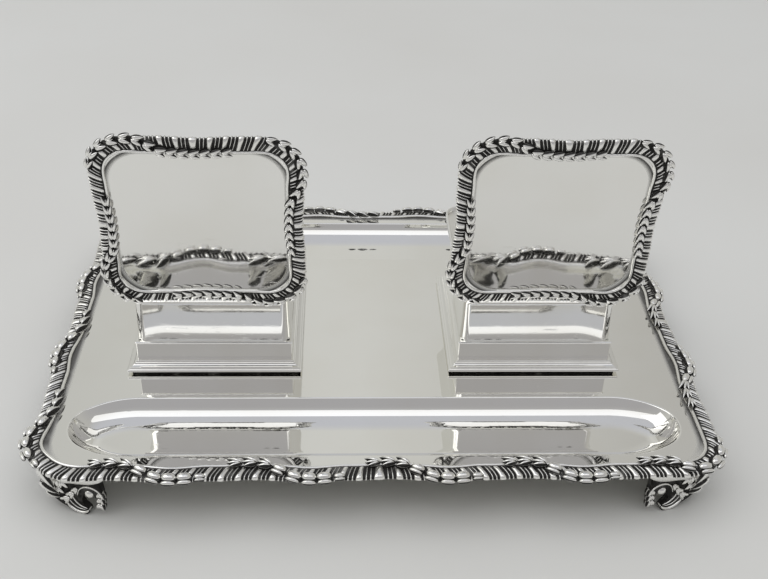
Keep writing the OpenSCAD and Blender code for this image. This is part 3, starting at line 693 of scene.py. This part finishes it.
def ribbon(knots, count=28, sides=20):
    """A ribbon in the XZ plane. Each knot is x, z, half width in the plane, half thickness across it."""
    line = smooth_curve(knots, count)
    along = np.gradient(line[:, :2], axis=0)
    along /= np.linalg.norm(along, axis=1, keepdims=True)
    turn = np.linspace(0, 2 * math.pi, sides, endpoint=False)
    broad, deep = (np.abs(a) ** 0.8 * np.sign(a) for a in (np.cos(turn), np.sin(turn)))
    points = []
    for (x, z, wide, thick), (along_x, along_z) in zip(line, along):
        off = broad * wide
        points.append(np.stack([x - along_z * off, deep * thick, z + along_x * off], -1))
    points = np.vstack(points + [[[line[0, 0], 0, line[0, 1]], [line[-1, 0], 0, line[-1, 1]]]])
    return points, tipped_faces(len(line), sides), np.zeros(len(points))


def ball(radius, middle):
    turn = np.linspace(0, 2 * math.pi, 20, endpoint=False)
    rings = [np.c_[math.sin(a) * np.cos(turn), math.sin(a) * np.sin(turn), np.full(len(turn), math.cos(a))]
             for a in np.linspace(0, math.pi, 13)[1:-1]]
    points = np.vstack(rings + [[[0, 0, 1], [0, 0, -1]]]) * radius + middle
    return points, tipped_faces(len(rings), len(turn)), np.zeros(len(points))


def laid(shape, place, along, up):
    """A husk moved to a place, with its length along one direction and its back up another."""
    points, faces, hollow = shape
    x = np.asarray(along, float) / np.linalg.norm(along)
    z = np.asarray(up, float) - x * (np.asarray(up, float) @ x)
    z /= np.linalg.norm(z)
    return np.asarray(place, float) + points @ np.array([x, np.cross(z, x), z]), faces, hollow

# %% A flat plate with an outline
EASE = 0.35


def flat_plate(outline, thick):
    """A black plate in the XZ plane, as rings of its outline with eased edges and two flat faces. The
    black is partly the casting's tarnish and partly painted shade under the tray's edge.
    """
    p = np.asarray(outline, float)
    edges = (np.roll(p, -1, 0) - p, p - np.roll(p, 1, 0))
    n = sum(np.c_[e[:, 1], -e[:, 0]] / np.linalg.norm(e, axis=1, keepdims=True) for e in edges)
    n /= np.maximum(np.linalg.norm(n, axis=1, keepdims=True), 0.3)
    rings = []
    for y, inset in ((-thick, EASE), (-thick + EASE, 0), (thick - EASE, 0), (thick, EASE)):
        q = p - n * inset
        rings.append(np.c_[q[:, 0], np.full(len(q), y), q[:, 1]])
    caps = filled(np.c_[p, np.zeros(len(p))], [], [range(len(p))])[1]
    faces = grid_faces(len(rings), len(p)) + caps
    # All black: tarnish of the casting and painted shade under the tray's edge.
    return np.vstack(rings), faces + [[3 * len(p) + i for i in f[::-1]] for f in caps], 1.0

# %% A foot
FOOT_H, WING_LEAN, KNEE_IN = 22.8, math.radians(16), 12.5
PEARL, PEARL_R, EYE_R = (15.7, 10.9), 2.25, 2.7
EYE = [(PEARL[0] + EYE_R * math.cos(t), PEARL[1] - 0.2 + EYE_R * math.sin(t))
       for t in np.radians(np.linspace(10, 180, 9))]
WING = [(-2.0, 22.6), (20.8, 22.6), (20.8, 16.4), (21.2, 13.4), (20.9, 10.9), (18.6, 10.2), *EYE, (12.2, 8.6),
        (11.7, 6.8), (12.8, 5.0), (14.5, 3.3), (14.8, 1.9), (13.4, 0.4), (10.8, 0.0), (8.0, 0.9), (5.8, 2.7),
        (3.2, 4.0), (0.8, 6.0), (-1.4, 9.4), (-2.4, 13.5)]
TOE = [(5.4, 5.4, 0.35, 1.5), (6.3, 3.3, 0.6, 1.8), (8.6, 1.55, 0.75, 2.0), (11.4, 0.85, 0.8, 2.0),
       (13.6, 1.5, 0.7, 1.8), (14.7, 2.9, 0.35, 1.3)]
BLADE = [(8.2, 8.8, 0.3, 1.5), (9.6, 6.2, 0.34, 1.7), (11.6, 4.3, 0.34, 1.7), (14.0, 3.3, 0.3, 1.5)]
VEIN = [(6.6, 6.8, 0.22, 1.5), (8.2, 4.5, 0.26, 1.6), (10.4, 2.9, 0.26, 1.6), (13.4, 2.5, 0.2, 1.4)]
ARCH_RIM = [(10.6, 9.6, 0.35, 1.6), (11.6, 12.5, 0.42, 1.75), (13.6, 14.6, 0.45, 1.8),
            (16.4, 15.2, 0.45, 1.8), (19.2, 14.3, 0.45, 1.8), (21.0, 12.2, 0.4, 1.7), (21.4, 10.6, 0.3, 1.4)]
APRON = [(-2.4, 18.6, 3.4, 2.9), (4, 18.4, 3.7, 2.9), (10, 18.7, 3.5, 2.6), (16, 19.3, 3.1, 2.4),
         (20, 20.2, 2.3, 2.2), (22, 21.0, 1.4, 1.8)]
STALK = [(15.7, 15.0, 0.5, 0.5), (15.7, 13.6, 0.45, 0.45), (15.7, 12.4, 0.4, 0.4)]
# The husks on a scroll: three hang in a drop at its end as (x, z, size), and the others lie on its
# face as (x, z, direction along x, direction along z, size).
DROP = [(20.3, 11.0, 0.86), (20.0, 8.2, 0.84), (19.7, 5.3, 0.9)]
LEAVES = [(9.9, 12.2, -0.55, -0.8, 0.8), (7.7, 9.4, -0.62, -0.78, 0.95), (5.2, 6.4, -0.68, -0.72, 1.05),
          (1.6, 14.4, -0.1, -1, 1.2), (5.0, 14.2, 0.3, -1, 1.0), (0.6, 10.0, 0.35, -1, 1.0),
          (3.2, 10.6, 0.35, -1, 0.9)]
# The leaves that fold over the knee, as (z, distance out, size, lean).
KNEE_LEAVES = [(18.4, 3.2, 1.5, 0.15), (13.0, 2.6, 1.3, 0.45), (8.4, 0.8, 1.05, 0.7)]


def foot_wing():
    """One scroll of a foot, running along +X from the corner, with the table at height zero."""
    parts = [flat_plate(WING, 1.35), ribbon(APRON, sides=24), ball(PEARL_R, (PEARL[0], 0, PEARL[1] + 0.4)),
             ribbon(STALK, 8, 10)]
    parts += [ribbon(line) for line in (TOE, BLADE, VEIN, ARCH_RIM)]
    for side in (-1, 1):
        for x, z, size in DROP:
            husk = palm(3.9 * size, 2.1 * size, 1.5 * size, 0.34)
            parts.append(laid(husk, (x, side * 0.55, z), (-0.1, 0, -1), (0, side, 0)))
        for x, z, along_x, along_z, size in LEAVES:
            husk = palm(4.3 * size, 1.75 * size, 1.3, bare=0.62)
            parts.append(laid(husk, (x, side * 1.2, z), (along_x, 0, along_z), (0, side, 0)))
    return joined(parts)


def foot():
    """A whole foot with its knee at the origin, one scroll along +X and one along +Y."""
    points, faces, hollow = foot_wing()
    c, s = math.cos(WING_LEAN), math.sin(WING_LEAN)
    x, y, z = points.T
    turned = np.stack([x * c + y * s, y * c - x * s, z], -1)
    parts = [(turned, faces, hollow), (turned[:, [1, 0, 2]], [f[::-1] for f in faces], hollow)]
    for z, out, size, lean in KNEE_LEAVES:
        husk = palm(6.4 * size, 2.5 * size, 1.8, 0.5, 0.66)
        parts.append(laid(husk, (-out * 0.7, -out * 0.7, z), (lean, lean, -1), (-1, -1, 0)))
    return joined(parts)


foot_points, foot_faces, foot_hollow = foot()
foot_points[:, 2] = np.clip(foot_points[:, 2], 0, FOOT_H)
for name, x, y in (("foot_front_left", -1, -1), ("foot_front_right", 1, -1), ("foot_back_left", -1, 1),
                   ("foot_back_right", 1, 1)):
    points = foot_points * (-x, -y, 1) + (x * (HALF_W - KNEE_IN), y * (HALF_D - KNEE_IN), 0)
    make_piece(name + "_casting", points, foot_faces, "tray", "cast_silver", [name], foot_hollow)

# %% [markdown]
# ## The inkwells
# Each well is a stack of square pieces: a set-back plate on the tray, a stepped base moulding, a
# plain band with a bead, and a casing that is waisted below and flares to an upright lip. All of
# them are rings of one square outline with rounded corners, so one function lofts them. Tiny
# roundings at the edges matter most, because that is where polished metal flashes.

# %% A square loft
def square_ring(half, r, z, steps):
    loop = rounded_loop(half, half, max(r, 0.01), steps)
    return np.c_[loop, np.full(len(loop), z)]


def square_loft(rows, steps=10, closed=True):
    """Rings of rounded squares, given as half width, corner radius and height."""
    rings = [square_ring(half, r, z, steps) for half, r, z in rows]
    return np.vstack(rings), grid_faces(len(rings), len(rings[0]), loop_rows=closed)


def eased(profile, r):
    """A closed profile of (half width, height) with its corners rounded off."""
    p = np.asarray(profile, float)
    result = []
    for before, here, after in zip(np.roll(p, 1, 0), p, np.roll(p, -1, 0)):
        a, b = before - here, after - here
        la, lb = np.linalg.norm(a), np.linalg.norm(b)
        bend = abs(a[0] * b[1] - a[1] * b[0]) / (la * lb)
        cut = min(r, la * 0.35, lb * 0.35) if bend > 0.35 else 0
        if not cut:
            result.append(here)
            continue
        start, end = here + a / la * cut, here + b / lb * cut
        for t in np.linspace(0, 1, 4):
            result.append((1 - t) ** 2 * start + 2 * t * (1 - t) * here + t ** 2 * end)
    return result

# %% The profiles of a well
BASE_HALF, BAND_HALF, WAIST_HALF, RIM, CORNER_AT = 37.2, 33.0, 32.0, 35.2, 28.4
BASE_TOP, BAND_TOP, WAIST_Z, CAVETTO_Z, LIP_Z, WELL_TOP = 5.0, 14.5, 32.0, 33.2, 40.0, 43.0
step = 4.2 / 5
cove = [(BASE_HALF - step - 2.4 * step * math.cos(t), BASE_TOP - 0.7 - 1.2 * math.sin(t))
        for t in np.linspace(0, math.pi / 2, 7)]
base_profile = [(BAND_HALF - 1, BASE_TOP), (BAND_HALF + step, BASE_TOP), (BAND_HALF + step, BASE_TOP - 0.7),
                *cove, (BASE_HALF - step, 2.5), (BASE_HALF - 0.3, 2.5), (BASE_HALF, 2.2), (BASE_HALF, 1.5),
                (BASE_HALF - 0.3, 1.2), (BAND_HALF - 1, 1.2)]
bead = ((0, 0), (0.4, 0.2), (0.5, 0.5), (0.4, 0.8), (0, 1))
bead = [(BAND_HALF + out, BAND_TOP - down) for out, down in bead]
band_profile = [(BAND_HALF - 1, BAND_TOP), *bead, (BAND_HALF, BASE_TOP), (BAND_HALF - 1, BASE_TOP)]
plate_profile = [(35.4, 1.2), (35.4, 0), (30, 0), (30, 1.2)]


def casing_half(z):
    if z < CAVETTO_Z:
        return WAIST_HALF + 0.0021 * min(0, z - WAIST_Z) ** 2
    return WAIST_HALF + (RIM - WAIST_HALF) * ((z - CAVETTO_Z) / (LIP_Z - CAVETTO_Z)) ** 1.7


heights = [*np.linspace(BAND_TOP, CAVETTO_Z, 24)[:-1], *np.linspace(CAVETTO_Z, LIP_Z, 18)]
face = [(casing_half(z), z) for z in heights]
top = [(RIM, LIP_Z + 0.3), (RIM, WELL_TOP - 0.25), (RIM - 0.25, WELL_TOP), (RIM - 0.75, WELL_TOP),
       (RIM - 1, WELL_TOP - 0.25)]
casing_profile = face + top + [(half - 1, z) for half, z in face[::-1]]

# %% The wells
def with_corners(profile, r):
    return [(half, r, z) for half, z in profile]


plate_rows = with_corners(eased(plate_profile, 0.1), 0.5)
base_rows = with_corners(eased(base_profile, 0.16), 0.35)
band_rows = with_corners(eased(band_profile, 0.12), 0.45)
casing_rows = [(half, half - CORNER_AT, z) for half, z in casing_profile]
# Name, solid of the frame, rows, steps round a corner, slot, how black it is, sharpest smooth angle.
# The plate under the base is all black: painted shade in the recess under the moulding.
well_pieces = (("well_foot_", "bottom_plate_", plate_rows, 10, "plain_silver", 1, 40),
               ("well_base_", "base_moulding_", base_rows, 10, "polished_silver", 0, 50),
               ("well_band_", "plinth_band_", band_rows, 10, "polished_silver", 0, 50),
               ("well_casing_", "casing_", casing_rows, 20, "polished_silver", 0, 60))
for side in SIDES:
    for name, solid, rows, steps, slot, black, crease in well_pieces:
        points, faces = square_loft(rows, steps)
        make_piece(name + side, on_well(side)(points), faces, "tray", slot, [solid + side],
                   np.full(len(points), black), crease)

# %% [markdown]
# ## The glass liners
# A thick square glass stands in each casing and hangs by its flange. The ink is held in a round
# well that was ground and polished into it. The two shapes meet in the flat top of the flange.

# %% Glass and its finish
glass_film, knob = new_group("glass_film", {"Tint": (0.95, 0.98, 0.975, 1), "Film": 1.0})
smear = spread(glass_film, noise_at(glass_film, 40, detail=3), 0.45, 0.7)
smear = calc(glass_film, "MULTIPLY", smear, knob["Film"])
colour = calc(glass_film, "MULTIPLY", smear, 0.5)
colour = blend_colours(glass_film, colour, knob["Tint"], (0.88, 0.93, 0.93, 1))
haze = calc(glass_film, "MULTIPLY", smear, 0.05)
height = noise_at(glass_film, 30, detail=1.0)
give_out(glass_film, {"Colour": colour, "Roughness": haze, "Height": height})
finishes["clear_glass"], shader = group_finish("clear_glass", glass_film, {}, 0.0001)
shader.inputs["Transmission Weight"].default_value = 1.0
shader.inputs["IOR"].default_value = 1.5


def glass_liner():
    """The glass as rings from the outside of its base, over the flange and down into the ink well."""
    outside = [(20.0, 1.0, 5.0), (24.7, 4.2, 5.0), (25.3, 4.8, 5.2), (25.5, 5.0, 5.8), (25.5, 5.0, 40.9),
               (25.7, 5.2, 41.0), (27.2, 6.7, 41.0), (27.5, 7.0, 41.3), (27.5, 7.0, 41.9), (27.1, 6.6, 42.25),
               (26.6, 6.1, 42.3)]
    inside = [(20.6, 42.3), (20.25, 42.2), (20.0, 41.9), (20.0, 12.0), (19.4, 10.4), (18.2, 9.4), (16.5, 9.0),
              (2.0, 9.0)]
    rings = [square_ring(half, r, z, 12) for half, r, z in outside]
    turn = np.arctan2(rings[-1][:, 1], rings[-1][:, 0])
    rings += [np.stack([r * np.cos(turn), r * np.sin(turn), np.full(turn.shape, z)], -1) for r, z in inside]
    count = len(turn)
    faces = grid_faces(len(rings), count)
    faces += [list(range(count)), list(range((len(rings) - 1) * count, len(rings) * count))]
    return np.vstack(rings), faces


points, faces = glass_liner()
for side in SIDES:
    make_piece("ink_glass_" + side, on_well(side)(points), faces, "tray", "clear_glass",
               ["glass_liner_" + side], None, 50)

# %% [markdown]
# ## The lids
# A lid is a square plate with well rounded corners. Its margin is dished: the plate rises gently
# towards the border, and this small slope is what bends the reflections near the edge. The plate
# carries the same wire, gadroon casting and husks as the tray, at a smaller scale, and a thin ring
# underneath that drops into the rim of the well.

# %% The plate of a lid
DISH_DEEP, DISH_WIDE, COVE, NOTCH, PAINTED_SHADE_WIDE = 0.55, 17.0, 1.6, 20.85, 2.8
PANEL = LID_HALF - lid_border.w


def lid_plate_shape():
    """The plate from its middle outwards over the top, then back underneath, and how much painted
    shade darkens it beside the wire. It is notched for the hinge."""
    def rise(inset):
        dish = DISH_DEEP * max(0.0, 1 - inset / DISH_WIDE) ** 2
        return dish - DISH_DEEP + 0.35 * max(0.0, 1 - inset / COVE) ** 2
    insets = (33.5, 31, 28, 25, 22, 19, 17, 15, 13, 11, 9.5, 8, 6.8, 5.6, 4.6, 3.7, 2.9, 2.2, 1.6, 1.1, 0.7,
              0.35, 0)
    corner = lid_border.r - lid_border.w
    rows = [(PANEL - i, max(corner - i, 0.02 + 0.3 * (PANEL - i)), rise(i)) for i in insets]
    rows += [(PANEL + 0.6, 14.8, rise(0) - 0.05), (PANEL + 2.3, 16.5, -0.05), (PANEL + 2.35, 16.5, -1.0),
             (PANEL - 5, 10, -1.0), (PANEL - 20, 7, -1.0 - 0.1), (0.5, 0.17, -1.1)]
    points, faces = square_loft(rows, 20, closed=False)
    near_hinge = np.abs(points[:, 0]) < NOTCH
    points[near_hinge, 1] = np.maximum(points[near_hinge, 1], -PANEL)
    count = len(points) // len(rows)
    faces += [list(range(count)), list(range(len(points) - count, len(points)))]
    # Painted shade on the plate's margin beside the wire, fading out over a few millimetres.
    lid_painted_shade = [0.55 * max(0.0, 1 - i / PAINTED_SHADE_WIDE) for i in insets] + [0.0] * (len(rows) - len(insets))
    return points, faces, np.repeat(lid_painted_shade, count)


points, faces, hollow = lid_plate_shape()
for side in SIDES:
    make_piece("lid_panel_" + side, on_lid(side)(points + LID_MIDDLE), faces, "lid_" + side,
               "polished_silver", ["lid_plate_" + side], hollow, 60)

# %% The wire, casting and husks of a lid
lid_wire = (*wire_run(lid_border, LID_WIRE, 0.6, 12), None)
lid_casting = gadroon(lid_border, repeats=(6, 6), lean=1.9, depth=0.8, husks=lid_husks,
                      husk_wide=LID_HUSK, widen=0.4, wall_at=3.2)
lid_strings = joined([husk_string(lid_border, spray, length=4.3, wide=LID_HUSK, high=1.15, lift=0.15,
                                  level=0.7, kind=lambda i: palm) for spray in lid_husks])
for side in SIDES:
    for name, slot, solids, (points, faces, hollow) in (
            ("lid_wire_run_", "wire_silver", ["lid_wire_"], lid_wire),
            ("lid_gadroon_", "cast_silver", ["lid_border_"], lid_casting),
            ("lid_husks_", "cast_silver", [], lid_strings)):
        make_piece(name + side, on_lid(side)(points + LID_MIDDLE), faces, "lid_" + side, slot,
                   [solid + side for solid in solids], hollow)

# %% The ring under a lid
RING, RING_WALL = 33.4, 0.8
profile = eased([(RING, 0.45), (RING, -1.1), (RING - RING_WALL, -1.1), (RING - RING_WALL, 0.45)], 0.2)
points, faces = square_loft([(half, half - CORNER_AT, z) for half, z in profile], 14)
for side in SIDES:
    make_piece("lid_ring_" + side, on_lid(side)(points + (0, WELL_Y - HINGE_Y, 0)), faces, "lid_" + side,
               "plain_silver", ["lid_bezel_" + side], np.zeros(len(points)), 50)

# %% [markdown]
# ## Hinges and fixings
# The hinge leaves, pins, studs, washers and nuts, and the flat ring that carries each glass, are
# turned and filed parts with plain shapes. The engineering model holds them exactly, so they keep
# its solids and only take a finish.

# %% Finishes of the parts that stay
kept = {"hinge_leaf_": "wire_silver", "lid_leaf_": "wire_silver", "hinge_pin_": "wire_silver",
        "top_frame_": "plain_silver", "well_stud_": "plain_silver", "well_washer_": "plain_silver",
        "well_nut_": "plain_silver"}
for name, slot in kept.items():
    for side in SIDES:
        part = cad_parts[name + side]
        part.data.materials.clear()
        part.data.materials.append(finishes[slot])
print("kept solids:", len(kept) * len(SIDES))

# %% [markdown]
# ## The studio
# Silver shows the room more than itself. The table is a plain pale sheet, and the room is pale all
# round, a little darker in front, where the camera and its user stand. One wide soft window high in
# front makes the white bands in the hollows, and a smaller one on the left lights the sides. The room
# that the camera and the reflections see is separate from the even light on dull surfaces.

# %% The table
bpy.ops.mesh.primitive_plane_add(size=6)
table = bpy.context.object
table.name = "table"
paper, tree, shader = new_material("pale_table")
mottle = spread(tree, noise_at(tree, 3.5, detail=4), 0.35, 0.65)
mottle = blend_colours(tree, mottle, (0.645, 0.65, 0.64, 1), (0.62, 0.62, 0.605, 1))
tree.links.new(mottle, shader.inputs["Base Color"])
shader.inputs["Roughness"].default_value = 0.7
shader.inputs["Specular IOR Level"].default_value = 0.2
table.data.materials.append(paper)

# %% The room
world = bpy.data.worlds.new("room")
bpy.context.scene.world = world
world.use_nodes = True
tree = world.node_tree
tree.nodes.clear()
way = add(tree, "ShaderNodeTexCoord").outputs["Generated"]
axes = add(tree, "ShaderNodeSeparateXYZ", {0: way}).outputs
colour = (0.61, 0.61, 0.585, 1)
for value, low, high, other in ((axes["X"], -0.02, -0.26, (0.53, 0.53, 0.505, 1)),
                                (axes["X"], 0.02, 0.30, (0.46, 0.455, 0.435, 1)),
                                (calc(tree, "MULTIPLY", axes["Y"], -1.0), 0.05, 0.75, (0.385, 0.38, 0.39, 1)),
                                (axes["Z"], 0.75, 0.97, (0.52, 0.53, 0.57, 1))):
    colour = blend_colours(tree, spread(tree, value, low, high), colour, other)
seen = add(tree, "ShaderNodeBackground", {"Color": colour, "Strength": 1.0}).outputs[0]
above = calc(tree, "POWER", spread(tree, axes["Z"], 0.0, 1.0), 2.0)
even = blend_colours(tree, above, (0.03, 0.026, 0.0, 1), (1.56, 1.56, 1.58, 1))
even = add(tree, "ShaderNodeBackground", {"Color": even, "Strength": 1.0}).outputs[0]
ray = add(tree, "ShaderNodeLightPath").outputs
sight = calc(tree, "ADD", ray["Is Camera Ray"], ray["Is Glossy Ray"])
sight = calc(tree, "ADD", sight, ray["Is Transmission Ray"], clamp=True)
room = add(tree, "ShaderNodeMixShader", {0: sight, 1: even, 2: seen}).outputs[0]
add(tree, "ShaderNodeOutputWorld", {"Surface": room})

# %% The lamps
def soft_lamp(name, place, width, height, watts):
    """A soft rectangle of light that faces the middle of the table and stays out of the picture."""
    lamp = bpy.data.lights.new(name, "AREA")
    lamp.shape, lamp.size, lamp.size_y, lamp.energy = "RECTANGLE", width, height, watts
    holder = bpy.data.objects.new(name, lamp)
    bpy.context.scene.collection.objects.link(holder)
    holder.location = place
    holder.rotation_euler = (Vector((0, 0, 0)) - Vector(place)).to_track_quat("-Z", "Y").to_euler()
    holder.visible_camera = False


def place_at(distance, elevation, azimuth):
    """A place at a distance, at angles up from the table and round from the front to the right."""
    e, a = math.radians(elevation), math.radians(azimuth)
    out = distance * math.cos(e)
    return out * math.sin(a), -out * math.cos(a), distance * math.sin(e)


soft_lamp("window", place_at(2.0, 63, 0), width=2.8, height=0.70, watts=3.3)
soft_lamp("side_light", place_at(1.3, 50, 280), width=1.2, height=1.0, watts=3.0)

# %% [markdown]
# ## The camera
# The camera looks down on the inkstand from the front, a little to the left of its middle.

# %% Place the camera
YAW, PITCH, ROLL = (math.radians(a) for a in (2.838, 33.621, 1.678))
CAMERA_AT, SENSOR, LENS = (-0.01557, -0.40803, 0.31370), 36.0, 50.77
look = Vector((math.sin(YAW) * math.cos(PITCH), math.cos(YAW) * math.cos(PITCH), -math.sin(PITCH)))
right = Vector((math.cos(YAW), -math.sin(YAW), 0))
up = right.cross(look)
right, up = (math.cos(ROLL) * right + math.sin(ROLL) * up, math.cos(ROLL) * up - math.sin(ROLL) * right)
camera = bpy.data.objects.new("camera", bpy.data.cameras.new("camera"))
bpy.context.scene.collection.objects.link(camera)
camera.data.sensor_width, camera.data.lens, camera.data.clip_start = SENSOR, LENS, 0.01
camera.matrix_world = Matrix.Translation(CAMERA_AT) @ Matrix((right, up, -look)).transposed().to_4x4()
bpy.context.scene.camera = camera
bpy.context.scene.view_settings.view_transform = "Standard"
